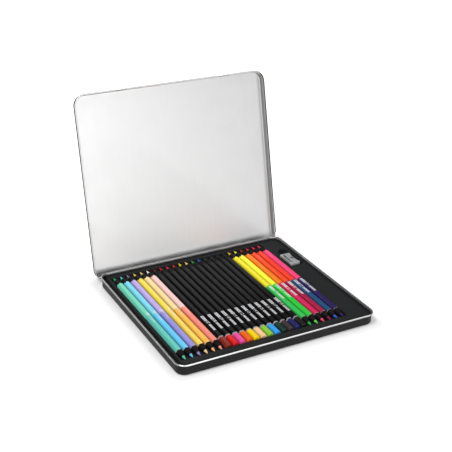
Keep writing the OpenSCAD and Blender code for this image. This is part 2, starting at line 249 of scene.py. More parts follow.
@dataclass(frozen=True)
class LacqueredTinplate(Finish):
    """Tinplate, roller-coated with black satin enamel outside and left bare inside and on its rolled edge.

    The enamel gives soft, wide highlights with a faint orange peel. The bare tin is a bright, cloudy
    grey with fine rolling lines that run up the panel. Painted shade greys it towards the right-hand bend.
    Real rolling lines are finer than line_width, which is as fine as the render can show.
    """

    relief: float = 0.02
    relief_strength: float = 0.12
    shape: PanShape = field(kw_only=True)
    bare_colour: str = "#e7e7e7"
    line_colour: str = "#dddddd"
    bare_roughness: float = 0.4
    roll_roughness: float = 0.28
    glossier: float = 0.04
    duller: float = 0.05
    right_shade_level: float = 0.6
    cloud_size: float = 18.0
    peel_size: float = 1.4
    line_width: float = 0.5
    line_length: float = 45.0

    def _bare_places(
        self, tree: bpy.types.NodeTree, shut: bpy.types.Node, parts: bpy.types.Node,
    ) -> tuple[bpy.types.Node, bpy.types.Node]:
        """Finds where the sheet is bare, by the depth under its outer face and the place on its roll.

        Args:
            tree: Node tree of the material.
            shut: Coordinates in the pan as it is when shut.
            parts: The same coordinates, split.

        Returns:
            A node that is 1 where the tin is bare, and one that is 1 on the bare part of the roll.
        """
        pan = self.shape
        straight = ((pan.width / 2 - pan.corner) * MM, (pan.depth / 2 - pan.corner) * MM, 1.0)
        folded = add_node(tree, VECTOR_MATH, {0: shut}, operation="ABSOLUTE")
        past = add_node(tree, VECTOR_MATH, {0: folded, 1: straight}, operation="SUBTRACT")
        corner = add_node(tree, VECTOR_MATH, {0: past}, operation="MAXIMUM")
        reach = add_node(tree, VECTOR_MATH, {0: corner}, operation="LENGTH")
        from_wall = add_node(tree, MATH, {0: pan.corner * MM, 1: reach}, operation="SUBTRACT")
        sign = 1.0 if pan.upwards else -1.0
        from_panel = add_node(tree, MATH, {
            0: parts.outputs["Z"], 1: sign, 2: -sign * pan.panel_z * MM,
        }, operation="MULTIPLY_ADD")
        both = add_node(tree, "ShaderNodeCombineXYZ", {0: from_wall, 1: from_panel})
        centre = (pan.bend * MM, pan.bend * MM, 0)
        left = add_node(tree, VECTOR_MATH, {0: centre, 1: both}, operation="SUBTRACT")
        kept = add_node(tree, VECTOR_MATH, {0: left}, operation="MAXIMUM")
        to_bend = add_node(tree, VECTOR_MATH, {0: kept}, operation="LENGTH")
        middle = (pan.bend - pan.sheet / 2) * MM
        inner = add_node(tree, MATH, {0: to_bend, 1: middle}, operation="LESS_THAN")
        rolled = add_node(tree, MATH, {0: from_panel, 1: pan.roll_from * MM}, operation="GREATER_THAN")
        before_hinge = add_node(tree, MATH, {
            0: parts.outputs["Y"], 1: pan.roll_until_y * MM,
        }, operation="LESS_THAN")
        before_right = add_node(tree, MATH, {
            0: parts.outputs["X"], 1: pan.roll_until_x * MM,
        }, operation="LESS_THAN")
        near_wall = add_node(tree, MATH, {
            0: from_wall,
            1: (pan.roll_inset - pan.roll_reach) / 2 * MM,
            2: (pan.roll_inset + pan.roll_reach) / 2 * MM,
        }, operation="COMPARE")
        along = add_node(tree, MATH, {0: rolled, 1: before_hinge}, operation="MULTIPLY")
        outer = add_node(tree, MATH, {0: before_right, 1: near_wall}, operation="MULTIPLY")
        roll = add_node(tree, MATH, {0: along, 1: outer}, operation="MULTIPLY")
        bare = add_node(tree, MATH, {0: inner, 1: roll}, operation="MAXIMUM")
        return bare, roll

    def pattern(self, tree: bpy.types.NodeTree) -> dict[str, Any]:
        """Dresses the enamelled and the bare side of the sheet, each with its colour, sheen and relief.

        Args:
            tree: Node tree of the material.

        Returns:
            What goes into the shader's sockets, and the height of the relief.
        """
        pan = self.shape
        pivot = Vector((0, pan.hinge_y * MM, pan.hinge_z * MM))
        rotation = Euler((math.radians(pan.turn), 0, 0))
        place = add_node(tree, "ShaderNodeTexCoord")
        shut = add_node(tree, "ShaderNodeMapping", {
            "Vector": place.outputs["Object"],
            "Rotation": tuple(rotation),
            "Location": tuple(pivot - rotation.to_matrix() @ pivot),
        })
        parts = add_node(tree, "ShaderNodeSeparateXYZ", {0: shut})
        bare, roll = self._bare_places(tree, shut, parts)
        cloud = add_node(tree, NOISE, {
            "Vector": shut, "Scale": 1 / (self.cloud_size * MM), "Detail": 3.0, "Roughness": 0.6,
        })
        lines = streaks(tree, shut, (self.line_width, self.line_length, self.line_length), 4.0, 0.65)
        tin = add_node(tree, MIX, {
            0: lines, 6: linear(self.bare_colour), 7: linear(self.line_colour),
        }, data_type="RGBA")
        # Painted shade: the bare tin is greyed towards the lid's right-hand bend.
        clear = add_node(tree, MAP_RANGE, {
            0: parts.outputs["X"], 1: pan.right_shade_from * MM, 2: pan.right_shade_to * MM,
            3: 1.0, 4: self.right_shade_level,
        }, interpolation_type="SMOOTHSTEP")
        right_shaded_tin = add_node(tree, VECTOR_MATH, {0: tin, "Scale": clear}, operation="SCALE")
        colour = add_node(tree, MIX, {0: bare, 6: linear(self.colour), 7: right_shaded_tin}, data_type="RGBA")
        clouded = add_node(tree, MAP_RANGE, {
            0: cloud, 1: NOISE_LOW, 2: NOISE_HIGH,
            3: self.bare_roughness - self.glossier, 4: self.bare_roughness + self.duller,
        })
        burnished = add_node(tree, MIX, {0: roll, 2: clouded, 3: self.roll_roughness})
        rough = add_node(tree, MIX, {0: bare, 2: self.roughness, 3: burnished})
        peel = add_node(tree, NOISE, {"Vector": shut, "Scale": 1 / (self.peel_size * MM), "Detail": 1.0})
        height = add_node(tree, MIX, {0: bare, 2: peel, 3: lines})
        return {"Base Color": colour, "Roughness": rough, "Metallic": bare, "Height": height}


@dataclass(frozen=True)
class FormedPolystyrene(Finish):
    """Black high-impact polystyrene sheet, vacuum-formed over a sanded mould.

    The sanded mould leaves an even matt skin. Along the left wall a strip is painted blacker, as painted
    shade. A sanded mould's grain is finer than this one, which is as fine as the render can show.
    """

    relief_strength: float = 0.3
    pale: str = "#2d2e2f"
    glossier: float = 0.05
    duller: float = 0.06
    grain: float = 0.7
    sheen_size: float = 28.0
    left_shade_full_to: float = -105.3
    left_shade_gone_from: float = -103.2
    left_shade_level: float = 0.12

    def pattern(self, tree: bpy.types.NodeTree) -> dict[str, Any]:
        """Adds the fine matt skin, slow changes of sheen and a strip of painted shade along the left wall.

        Args:
            tree: Node tree of the material.

        Returns:
            What goes into the shader's sockets, and the height of the relief.
        """
        place = add_node(tree, "ShaderNodeTexCoord").outputs["Object"]
        skin = add_node(tree, NOISE, {"Vector": place, "Scale": 1 / (self.grain * MM), "Detail": 2.0})
        slow = add_node(tree, NOISE, {"Vector": place, "Scale": 1 / (self.sheen_size * MM), "Detail": 1.0})
        tone = add_node(tree, MIX, {
            0: skin, 6: linear(self.colour), 7: linear(self.pale),
        }, data_type="RGBA")
        parts = add_node(tree, "ShaderNodeSeparateXYZ", {0: place})
        # Painted shade: the colour is darkened in a strip along the left wall.
        flat = add_node(tree, MAP_RANGE, {
            0: parts.outputs["X"], 1: self.left_shade_full_to * MM, 2: self.left_shade_gone_from * MM,
            3: self.left_shade_level, 4: 1.0,
        }, interpolation_type="SMOOTHSTEP")
        drawn = add_node(tree, VECTOR_MATH, {0: tone, "Scale": flat}, operation="SCALE")
        sheen = add_node(tree, MAP_RANGE, {
            0: slow, 1: NOISE_LOW, 2: NOISE_HIGH,
            3: self.roughness - self.glossier, 4: self.roughness + self.duller,
        })
        return {"Base Color": drawn, "Roughness": sheen, "Height": skin}


@dataclass(frozen=True)
class PencilLacquer(Finish):
    """Nitrocellulose lacquer, drawn on in several coats.

    It is glossy, with slow waves along the barrel that make the highlights run unevenly. Its colour is
    darkened where other surfaces lie near, as painted shade in the gaps between barrels.
    """

    relief_strength: float = 0.2
    deeper: float = 0.93
    glossier: float = 0.05
    duller: float = 0.07
    wave_width: float = 1.6
    wave_length: float = 34.0
    crevice_shade_reach: float = 3.2
    crevice_shade_level: float = 0.4
    fully_shaded_below: float = 0.3
    unshaded_above: float = 0.8

    def pattern(self, tree: bpy.types.NodeTree) -> dict[str, Any]:
        """Adds the waves of the drawn coats, as sheen, relief and depth of colour, and painted shade in the
        gaps.

        Args:
            tree: Node tree of the material.

        Returns:
            What goes into the shader's sockets, and the height of the relief.
        """
        place = add_node(tree, "ShaderNodeTexCoord").outputs["Object"]
        waves = streaks(tree, place, (self.wave_width, self.wave_length, self.wave_width), 3.0)
        deeper = add_node(tree, "ShaderNodeHueSaturation", {
            "Color": linear(self.colour), "Value": self.deeper,
        })
        tone = add_node(tree, MIX, {0: waves, 6: linear(self.colour), 7: deeper}, data_type="RGBA")
        # Painted shade: the colour darkens where ambient occlusion finds other surfaces near, as between
        # barrels.
        gap = add_node(tree, "ShaderNodeAmbientOcclusion", {"Distance": self.crevice_shade_reach * MM}, samples=8)
        crevice_light = add_node(tree, MAP_RANGE, {
            0: gap.outputs["AO"], 1: self.fully_shaded_below, 2: self.unshaded_above, 3: self.crevice_shade_level, 4: 1.0,
        }, interpolation_type="SMOOTHSTEP")
        crevice_shaded = add_node(tree, VECTOR_MATH, {0: tone, "Scale": crevice_light}, operation="SCALE")
        gloss = add_node(tree, MAP_RANGE, {
            0: waves, 1: NOISE_LOW, 2: NOISE_HIGH,
            3: self.roughness - self.glossier, 4: self.roughness + self.duller,
        })
        return {"Base Color": crevice_shaded, "Roughness": gloss, "Height": waves}


@dataclass(frozen=True)
class DyedWood(Finish):
    """Basswood dyed black through, cut by the sharpening machine.

    The cut face is matt, with short fibres along the pencil that took the dye unevenly. The fibres
    are drawn a few times wider than real ones, which the render couldn't show.
    """

    relief: float = 0.05
    relief_strength: float = 0.5
    thin_dye: str = "#221d1e"
    dark_until: float = 0.35
    pale_from: float = 0.75
    fibre_width: float = 0.35
    fibre_length: float = 5.0

    def pattern(self, tree: bpy.types.NodeTree) -> dict[str, Any]:
        """Adds the fibres as tone and relief.

        Args:
            tree: Node tree of the material.

        Returns:
            What goes into the shader's sockets, and the height of the relief.
        """
        place = add_node(tree, "ShaderNodeTexCoord").outputs["Object"]
        fibres = streaks(tree, place, (self.fibre_width, self.fibre_length, self.fibre_width), 4.0, 0.6)
        tone = add_node(tree, "ShaderNodeValToRGB", {0: fibres})
        stops = ((self.dark_until, self.colour), (self.pale_from, self.thin_dye))
        for element, (position, colour) in zip(tone.color_ramp.elements, stops):
            element.position = position
            element.color = linear(colour)
        return {"Base Color": tone, "Height": fibres}


@dataclass(frozen=True)
class PigmentCore(Finish):
    """Wax and pigment core, turned to a point.

    It is even in colour with a waxy sheen, and speckled where fillers and turning marks show. The
    speckle is coarser than the real one, so that it shows.
    """

    relief: float = 0.04
    darker: float = 0.78
    speckle: float = 0.45

    def pattern(self, tree: bpy.types.NodeTree) -> dict[str, Any]:
        """Adds the speckle, as tone and relief.

        Args:
            tree: Node tree of the material.

        Returns:
            What goes into the shader's sockets, and the height of the relief.
        """
        place = add_node(tree, "ShaderNodeTexCoord").outputs["Object"]
        grain = add_node(tree, NOISE, {"Vector": place, "Scale": 1 / (self.speckle * MM), "Detail": 3.0})
        darker = add_node(tree, "ShaderNodeHueSaturation", {
            "Color": linear(self.colour), "Value": self.darker,
        })
        tone = add_node(tree, MIX, {0: grain, 6: linear(self.colour), 7: darker}, data_type="RGBA")
        return {"Base Color": tone, "Height": grain}


@dataclass(frozen=True)
class WorkedMetal(Finish):
    """Bare metal that keeps the marks of its making: milled alloy, ground steel or stamped foil.

    The marks run one way, so the highlight breaks into fine streaks. They are drawn wider than real
    ones, which the render couldn't show.
    """

    relief: float = 0.02
    glossier: float = 0.06
    duller: float = 0.08
    mark_width: float = 0.3
    mark_length: float = 6.0
    darker: str = "#8d8f91"

    def pattern(self, tree: bpy.types.NodeTree) -> dict[str, Any]:
        """Adds the one-way marks as tone, sheen and relief.

        Args:
            tree: Node tree of the material.

        Returns:
            What goes into the shader's sockets, and the height of the relief.
        """
        place = add_node(tree, "ShaderNodeTexCoord").outputs["Object"]
        marks = streaks(tree, place, (self.mark_length, self.mark_width, self.mark_width), 4.0, 0.6)
        tone = add_node(tree, MIX, {
            0: marks, 6: linear(self.colour), 7: linear(self.darker),
        }, data_type="RGBA")
        gloss = add_node(tree, MAP_RANGE, {
            0: marks, 1: NOISE_LOW, 2: NOISE_HIGH,
            3: self.roughness - self.glossier, 4: self.roughness + self.duller,
        })
        return {"Base Color": tone, "Roughness": gloss, "Height": marks}


BASE_SHAPE = PanShape(
    width=222.16, depth=197.2, corner=9.5, bend=2.2, sheet=0.4, panel_z=0.0, upwards=True,
    roll_from=11.1, roll_inset=-0.4,
)
LID_SHAPE = PanShape(
    width=226.46, depth=201.5, corner=11.65, bend=2.0, sheet=0.4, panel_z=13.1, upwards=False,
    roll_from=6.42, roll_reach=0.9, roll_until_x=109.0, roll_until_y=97.0,
    right_shade_from=107.0, right_shade_to=112.0, turn=103.5, hinge_y=100.0, hinge_z=3.6,
)
BASE_TINPLATE = LacqueredTinplate(
    "enamelled_tinplate_base", "#19191a", roughness=0.42, specular=0.2, shape=BASE_SHAPE,
)
LID_TINPLATE = LacqueredTinplate(
    "enamelled_tinplate_lid", "#19191a", roughness=0.42, specular=0.2, shape=LID_SHAPE,
)
TRAY_PLASTIC = FormedPolystyrene("formed_black_polystyrene", "#222323", roughness=0.6, specular=0.06)
HINGE_STEEL = WorkedMetal("pressed_hinge_steel", "#b9bbbd", roughness=0.34, metallic=1.0)
SHARPENER_ALLOY = WorkedMetal(
    "milled_magnesium_alloy", "#eef0f1", roughness=0.42, metallic=0.3, relief=0.05,
)
BLADE_STEEL = WorkedMetal("ground_blade_steel", "#e6e8ea", roughness=0.34, metallic=0.45, mark_width=0.2)
SCREW_STEEL = WorkedMetal("turned_screw_steel", "#a9abad", roughness=0.3, metallic=1.0)
SILVER_FOIL = WorkedMetal(
    "hot_stamped_silver_foil", "#fafbfc", roughness=0.42, metallic=0.05, darker="#dfe1e4",
)
RING_FOIL = WorkedMetal(
    "hot_stamped_ring_foil", "#bfbcbd", roughness=0.4, metallic=0.4, darker="#a39fa1",
)
WHITE_FOIL = WorkedMetal("hot_stamped_white_foil", "#f0f0ee", roughness=0.4, darker="#dededc")
BLACK_LACQUER = PencilLacquer("pencil_lacquer_black", "#111012", roughness=0.34, specular=0.11)
COLLAR_LACQUER = PencilLacquer("dipped_collar_black", "#0b0a0b", roughness=0.5, specular=0.08)
PRIMER = PencilLacquer("pencil_primer", "#cfc6bd", roughness=0.5, specular=0.2)
DYED_BASSWOOD = DyedWood("black_dyed_basswood", "#0e0c0d", roughness=0.75, specular=0.12)


def add_object(name: str, data: bpy.types.ID) -> bpy.types.Object:
    """Makes an object and puts it in the scene.

    Args:
        name: Name of the object.
        data: Its mesh, curve, camera or light.

    Returns:
        The object.
    """
    made = bpy.data.objects.new(name, data)
    bpy.context.scene.collection.objects.link(made)
    return made


def to_piece(mesh: bpy.types.Mesh, name: str, body: str) -> bpy.types.Object:
    """Puts a finished mesh in the scene as a piece that rides on a body.

    Args:
        mesh: Mesh with its place in its points.
        name: Name of the piece.
        body: Body that it moves with.

    Returns:
        The piece.
    """
    mesh.name = name
    piece = add_object(name, mesh)
    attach(piece, body)
    LOG.info("%s: %d faces on %s", name, len(mesh.polygons), body)
    return piece


def evaluated_mesh(source: bpy.types.Object) -> bpy.types.Mesh:
    """Turns an object with live modifiers into a plain mesh, and removes the object.

    Args:
        source: Object whose result is wanted.

    Returns:
        A mesh of its own.
    """
    graph = bpy.context.evaluated_depsgraph_get()
    graph.update()
    mesh = bpy.data.meshes.new_from_object(source.evaluated_get(graph))
    old = source.data
    bpy.data.objects.remove(source)
    if isinstance(old, bpy.types.Mesh):
        bpy.data.meshes.remove(old)
    return mesh


def start_tree(
    name: str, inputs: dict[str, tuple[str, ...]],
) -> tuple[bpy.types.GeometryNodeTree, bpy.types.NodeOutputs]:
    """Starts a geometry tree with its named inputs.

    Args:
        name: Name of the tree.
        inputs: Names of its inputs, by what they hold: Int, Float, Bool or Material.

    Returns:
        The tree, and what comes out of its group input.
    """
    tree = bpy.data.node_groups.new(name, "GeometryNodeTree")
    tree.interface.new_socket("Geometry", in_out="OUTPUT", socket_type="NodeSocketGeometry")
    for kind, names in inputs.items():
        for socket in names:
            tree.interface.new_socket(socket, in_out="INPUT", socket_type=f"NodeSocket{kind}")
    return tree, tree.nodes.new("NodeGroupInput").outputs


def run_tree(tree: bpy.types.GeometryNodeTree, values: dict[str, Any]) -> bpy.types.Mesh:
    """Runs a geometry tree once with the given inputs.

    Args:
        tree: Geometry node tree.
        values: What goes into its inputs, by name.

    Returns:
        The plain mesh that it makes.
    """
    holder = add_object("tree_run", bpy.data.meshes.new("tree_run"))
    modifier = holder.modifiers.new("tree", "NODES")
    modifier.node_group = tree
    for item in tree.interface.items_tree:
        if item.item_type == "SOCKET" and item.in_out == "INPUT" and item.name in values:
            modifier[item.identifier] = values[item.name]
    holder.update_tag()
    return evaluated_mesh(holder)


def softened_copy(node: str, bevel: float, segments: int) -> bpy.types.Mesh:
    """Copies a CAD node, merges its loose triangles and rounds its hard edges.

    Args:
        node: Name of the CAD node.
        bevel: Width of the rounding, in millimetres, or 0 for smooth shading alone.
        segments: Number of strips in the rounding.

    Returns:
        The new mesh, with its place in its points.
    """
    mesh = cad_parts[node].data.copy()
    mesh.materials.clear()
    work = bmesh.new()
    work.from_mesh(mesh)
    bmesh.ops.remove_doubles(work, verts=work.verts, dist=TOUCHING * MM)
    bmesh.ops.dissolve_limit(
        work, angle_limit=math.radians(FLAT_DEGREES), verts=work.verts, edges=work.edges,
    )
    work.to_mesh(mesh)
    work.free()
    mesh.shade_smooth()
    mesh.set_sharp_from_angle(angle=math.radians(CREASE_DEGREES))
    holder = add_object("soften", mesh)
    if bevel:
        rounding = holder.modifiers.new("rounding", "BEVEL")
        rounding.width = bevel * MM
        rounding.segments = segments
        rounding.limit_method = "ANGLE"
        rounding.angle_limit = math.radians(CREASE_DEGREES)
        rounding.use_clamp_overlap = True
        rounding.miter_outer = "MITER_ARC"
        rounding.harden_normals = True
    return evaluated_mesh(holder)


class PencilKind(Enum):
    """The three kinds of pencil in the tin."""

    PASTEL = "pastel"
    SINGLE = "single"
    NEON = "neon"


@dataclass(frozen=True)
class PencilColours:
    """Colours of one pencil: the lacquer of its halves, or its dipped end, and the cores at its ends."""

    front: str
    rear: str = ""
    front_core: str = ""
    rear_core: str = ""


COLOURS = {
    PencilKind.PASTEL: (
        PencilColours("#68cfbe", "#76dcc0", "#5fd0a8", "#2fa86a"),
        PencilColours("#6ccffa", "#82def6", "#78c6f4", "#59cfe2"),
        PencilColours("#9c95dc", "#c5b0ee", "#988cd4", "#8d80b4"),
        PencilColours("#fddc5e", "#fbe455", "#fde0a0", "#f4cf4e"),
        PencilColours("#fdc354", "#fde0a0", "#fcb478", "#f6d792"),
        PencilColours("#fb8f80", "#fdd3cd", "#faa292", "#f4eee8"),
    ),
    PencilKind.SINGLE: (
        PencilColours("#8b2a1e", rear_core="#6d1713"),
        PencilColours("#e01f1f", rear_core="#c81a24"),
        PencilColours("#ee4fa0", rear_core="#d0224e"),
        PencilColours("#f4661b", rear_core="#cf2a22"),
        PencilColours("#fdd80b", rear_core="#f2d21c"),
        PencilColours("#fcd09a", rear_core="#f5cf7e"),
        PencilColours("#8ccc3e", rear_core="#2f9a34"),
        PencilColours("#3a9fee", rear_core="#2a57c8"),
        PencilColours("#1c3a33", rear_core="#16302b"),
        PencilColours("#3f3535", rear_core="#2c2424"),
        PencilColours("#22265f", rear_core="#1c1f4c"),
        PencilColours("#1e1b1c", rear_core="#161415"),
    ),
    PencilKind.NEON: (
        PencilColours("#38c858", "#fcec2a", "#22b84e", "#e8b32c"),
        PencilColours("#30cc40", "#fdfd3c", "#5fdc4a", "#eef04a"),
        PencilColours("#d8265e", "#fb8410", "#f2506a", "#a8361c"),
        PencilColours("#aa1e47", "#fc5024", "#8e1248", "#d42a24"),
        PencilColours("#23507c", "#fd4028", "#2f62d0", "#ee2440"),
        PencilColours("#2a1c5c", "#fb4a80", "#341f66", "#e8305e"),
    ),
}
PENCILS = tuple((kind, colours) for kind, row in COLOURS.items() for colours in row)


@dataclass(frozen=True)
class PencilSizes:
    """Sizes that all the pencils share, and where they lie."""

    length: float = 176.0
    across_flats: float = 6.9
    across_corners: float = 7.6174
    core: float = 3.2
    point: float = 19.5
    front_point: float = 13.4
    tip: float = 0.7
    dip_rounding: float = 1.2
    collar: float = 13.5
    primer: float = 0.3
    ring_from: float = 15.9
    ring_to: float = 17.7
    split: float = 84.5
    pitch: float = 7.8174
    first_x: float = -97.1705
    front_y: float = -83.1
    axis_z: float = 7.3

    def tree_inputs(self) -> dict[str, float]:
        """Gives the sizes under the names that the trees know them by, in metres.

        Returns:
            The sizes by name.
        """
        named = {
            "Length": self.length,
            "Across Flats": self.across_flats,
            "Across Corners": self.across_corners,
            "Core Width": self.core,
            "Point": self.point,
            "Front Point": self.front_point,
            "Tip": self.tip,
            "Dip Rounding": self.dip_rounding,
            "Collar": self.collar,
            "Primer": self.primer,
            "Ring From": self.ring_from,
            "Ring To": self.ring_to,
            "Split": self.split,
        }
        return {name: size * MM for name, size in named.items()}

    def placed(self, number: int, y: float, z: float) -> Matrix:
        """Gives a place over or in the groove of a pencil, counted from 1 at the left."""
        return Matrix.Translation(Vector((self.first_x + (number - 1) * self.pitch, y, z)) * MM)


class PencilTrees:
    """Builds the node trees of the pencils: bands of surface, laid end to end round the axis.

    Each band runs between two ends. An end is a limit on the radius, which the hexagon cuts back where it
    is smaller, a reach along the pencil, and a slope, with which the reach follows the radius, as a
    sharpener leaves it. WIDE is no limit at all: a radius of one metre.
    """

    FLAT_STEPS = 4
    CORNER_STEPS = 3
    FACETS = 6
    WIDE = 1.0
    WELD = 0.005
    DIP_DEGREES = (0, 30, 60, 90)

    def __init__(self, sizes: PencilSizes) -> None:
        """Keeps the names of the sizes and builds the tree of one band.

        Args:
            sizes: Sizes of the pencils.
        """
        self.size_names = tuple(sizes.tree_inputs())
        self.band = self._band_tree()

    def _band_tree(self) -> bpy.types.GeometryNodeTree:
        """Makes the tree of one band.

        Returns:
            The node group.
        """
        tree, given = start_tree("pencil_band", {
            "Float": (
                "Across Flats", "Across Corners", "Tip", "Start Limit", "Start Reach", "Start Slope",
                "End Limit", "End Reach", "End Slope",
            ),
            "Bool": ("Crisp",),
            "Material": ("Material",),
        })
        steps = self.FLAT_STEPS + self.CORNER_STEPS
        columns = steps * self.FACETS
        grid = add_node(tree, "GeometryNodeMeshGrid", {
            "Size X": float(columns), "Size Y": 1.0, "Vertices X": columns + 1, "Vertices Y": 2,
        })
        place = add_node(tree, "GeometryNodeInputPosition")
        parts = add_node(tree, "ShaderNodeSeparateXYZ", {0: place})
        column = add_node(tree, MATH, {0: parts.outputs[0], 1: columns / 2}, operation="ADD")
        steady = add_node(tree, MATH, {0: column}, operation="ROUND")
        turns = add_node(tree, MATH, {0: steady, 1: float(steps)}, operation="DIVIDE")
        facet = add_node(tree, MATH, {0: turns}, operation="FLOOR")
        step = add_node(tree, MATH, {0: facet, 1: -float(steps), 2: steady}, operation="MULTIPLY_ADD")
        offset = self._offset(tree, given, step)
        angle = add_node(tree, MATH, {
            0: facet, 1: math.tau / self.FACETS, 2: offset,
        }, operation="MULTIPLY_ADD")
        hexagon = self._hexagon(tree, given, offset)
        at_end = add_node(tree, MATH, {0: parts.outputs[1], 1: 0.0}, operation="GREATER_THAN")
        limit, reach, slope = (
            add_node(tree, MIX, {0: at_end, 2: given[f"Start {name}"], 3: given[f"End {name}"]})
            for name in ("Limit", "Reach", "Slope")
        )
        radius = add_node(tree, MATH, {0: hexagon, 1: limit}, operation="MINIMUM")
        half_tip = add_node(tree, MATH, {0: given["Tip"], 1: 0.5}, operation="MULTIPLY")
        past_tip = add_node(tree, MATH, {0: radius, 1: half_tip}, operation="SUBTRACT")
        along = add_node(tree, MATH, {0: past_tip, 1: slope, 2: reach}, operation="MULTIPLY_ADD")
        sine = add_node(tree, MATH, {0: angle}, operation="SINE")
        cosine = add_node(tree, MATH, {0: angle}, operation="COSINE")
        across = add_node(tree, MATH, {0: radius, 1: sine}, operation="MULTIPLY")
        up = add_node(tree, MATH, {0: radius, 1: cosine}, operation="MULTIPLY")
        point = add_node(tree, "ShaderNodeCombineXYZ", {0: across, 1: along, 2: up})
        rolled = add_node(tree, "GeometryNodeSetPosition", {"Geometry": grid, "Position": point})
        closed = add_node(tree, "GeometryNodeMergeByDistance", {
            "Geometry": rolled, "Distance": self.WELD * MM,
        })
        smooth = add_node(tree, "GeometryNodeSetShadeSmooth", {
            "Geometry": closed, "Shade Smooth": True,
        }, domain="FACE")
        # An edge on the rim has one face beside it, and every other edge has two.
        beside = add_node(tree, "GeometryNodeInputMeshEdgeNeighbors")
        rim = add_node(tree, MATH, {0: beside, 1: 1.5}, operation="LESS_THAN")
        crisp_rim = add_node(tree, MATH, {0: rim, 1: given["Crisp"]}, operation="MULTIPLY")
        creased = add_node(tree, "GeometryNodeSetShadeSmooth", {
            "Geometry": smooth, "Selection": crisp_rim, "Shade Smooth": False,
        }, domain="EDGE")
        done = add_node(tree, "GeometryNodeSetMaterial", {
            "Geometry": creased, "Material": given["Material"],
        })
        add_node(tree, "NodeGroupOutput", {"Geometry": done})
        return tree

    def _offset(
        self, tree: bpy.types.GeometryNodeTree, given: bpy.types.NodeOutputs, step: bpy.types.Node,
    ) -> bpy.types.Node:
        """Adds the angle of a point from the middle of its facet, in even steps on the flat and the corner.

        Args:
            tree: Tree of one band.
            given: What comes out of its group input.
            step: Number of the point within its facet.

        Returns:
            The angle.
        """
        ratio = add_node(tree, MATH, {
            0: given["Across Flats"], 1: given["Across Corners"],
        }, operation="DIVIDE")
        half_flat = add_node(tree, MATH, {0: ratio}, operation="ARCCOSINE")
        flat_step = add_node(tree, MATH, {0: half_flat, 1: 2 / self.FLAT_STEPS}, operation="MULTIPLY")
        corner_step = add_node(tree, MATH, {
            0: half_flat, 1: -2 / self.CORNER_STEPS, 2: math.tau / self.FACETS / self.CORNER_STEPS,
        }, operation="MULTIPLY_ADD")
        on_flat = add_node(tree, MATH, {0: step, 1: float(self.FLAT_STEPS)}, operation="MINIMUM")
        past_flat = add_node(tree, MATH, {0: step, 1: on_flat}, operation="SUBTRACT")
        on_flat_angle = add_node(tree, MATH, {0: on_flat, 1: flat_step}, operation="MULTIPLY")
        swept = add_node(tree, MATH, {
            0: past_flat, 1: corner_step, 2: on_flat_angle,
        }, operation="MULTIPLY_ADD")
        return add_node(tree, MATH, {0: swept, 1: half_flat}, operation="SUBTRACT")

    def _hexagon(
        self, tree: bpy.types.GeometryNodeTree, given: bpy.types.NodeOutputs, offset: bpy.types.Node,
    ) -> bpy.types.Node:
        """Adds the radius of the rounded hexagon.

        Args:
            tree: Tree of one band.
            given: What comes out of its group input.
            offset: Angle from the middle of the facet.

        Returns:
            The radius.
        """
        slant = add_node(tree, MATH, {0: offset}, operation="COSINE")
        half_width = add_node(tree, MATH, {0: given["Across Flats"], 1: 0.5}, operation="MULTIPLY")
        half_corner = add_node(tree, MATH, {0: given["Across Corners"], 1: 0.5}, operation="MULTIPLY")
        on_side = add_node(tree, MATH, {0: half_width, 1: slant}, operation="DIVIDE")
        return add_node(tree, MATH, {0: on_side, 1: half_corner}, operation="MINIMUM")

    def _lay_bands(
        self,
        tree: bpy.types.GeometryNodeTree,
        given: bpy.types.NodeOutputs,
        ends: list[tuple[Any, Any, Any]],
        materials: tuple[str, ...],
        soft: int = 0,
    ) -> None:
        """Lays bands between the ends, joins them and closes the tree.

        Args:
            tree: Tree of one kind of pencil.
            given: What comes out of its group input.
            ends: Limit, reach and slope of each end, from front to rear.
            materials: Name of the material input of each band.
            soft: Number of bands at the front whose edges run into each other smoothly.
        """
        joined = add_node(tree, "GeometryNodeJoinGeometry")
        for i, material in enumerate(materials):
            start, end = ends[i], ends[i + 1]
            band = add_node(tree, "GeometryNodeGroup", {
                **{name: given[name] for name in ("Across Flats", "Across Corners", "Tip")},
                "Start Limit": start[0], "Start Reach": start[1], "Start Slope": start[2],
                "End Limit": end[0], "End Reach": end[1], "End Slope": end[2],
                "Crisp": i >= soft,
                "Material": given[material],
            }, node_tree=self.band)
            feed(tree, joined, {0: band})
        welded = add_node(tree, "GeometryNodeMergeByDistance", {
            "Geometry": joined, "Distance": self.WELD * MM,
        })
        real = add_node(tree, "GeometryNodeRealizeInstances", {"Geometry": welded})
        add_node(tree, "NodeGroupOutput", {"Geometry": real})

    def _shared(
        self, tree: bpy.types.GeometryNodeTree, given: bpy.types.NodeOutputs,
    ) -> tuple[dict[str, bpy.types.Node], list[tuple[Any, Any, Any]]]:
        """Adds what both trees need.

        Args:
            tree: Tree of one kind of pencil.
            given: What comes out of its group input.

        Returns:
            The half sizes and the slope of a front point, by name, and the ends of the rear bands.
        """
        tip, core, corner = (
            add_node(tree, MATH, {0: given[name], 1: 0.5}, operation="MULTIPLY")
            for name in ("Tip", "Core Width", "Across Corners")
        )
        drop = add_node(tree, MATH, {0: corner, 1: tip}, operation="SUBTRACT")
        slope = add_node(tree, MATH, {0: given["Front Point"], 1: drop}, operation="DIVIDE")
        rise = add_node(tree, MATH, {0: given["Point"], 1: drop}, operation="DIVIDE")
        back = add_node(tree, MATH, {0: rise, 1: -1.0}, operation="MULTIPLY")
        primed = add_node(tree, MATH, {0: given["Length"], 1: given["Primer"]}, operation="SUBTRACT")
        rear = [
            (self.WIDE, primed, back),
            (self.WIDE, given["Length"], back),
            (core, given["Length"], back),
            (tip, given["Length"], 0.0),
            (0.0, given["Length"], 0.0),
        ]
        return {"tip": tip, "core": core, "corner": corner, "slope": slope}, rear

